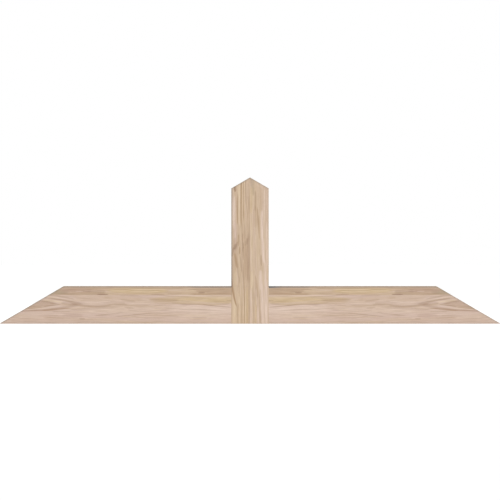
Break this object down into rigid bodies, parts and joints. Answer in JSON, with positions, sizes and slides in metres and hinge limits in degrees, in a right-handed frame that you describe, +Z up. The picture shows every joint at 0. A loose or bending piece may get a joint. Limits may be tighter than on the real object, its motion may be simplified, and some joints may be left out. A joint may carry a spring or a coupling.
{
  "type": "decorative gable truss",
  "caption": "Flat decorative gable truss in pale softwood: a pointed king post stands in the middle of a low tie chord whose ends are cut to the roof pitch.",
  "frame": {"origin": "middle of the underside", "axes": "+X along the span, +Y from the front face towards the wall, +Z up"},
  "size_m": [1.8288, 0.0888, 0.5334],
  "materials": {
    "post_timber": "planed smooth and unfinished, grain upright",
    "chord_timber": "planed smooth and unfinished, grain along the span",
    "cap_timber": "planed smooth and unfinished, grain along the span",
    "dowel_wood": "turned hardwood"
  },
  "bodies": {
    "root": {"king_post_left_board": "post_timber", "king_post_right_board": "post_timber", "left_chord_lower_board": "chord_timber", "right_chord_lower_board": "chord_timber", "left_chord_upper_board": "cap_timber", "right_chord_upper_board": "cap_timber", "lower_dowel": "dowel_wood", "upper_dowel": "dowel_wood"}
  },
  "joints": []
}
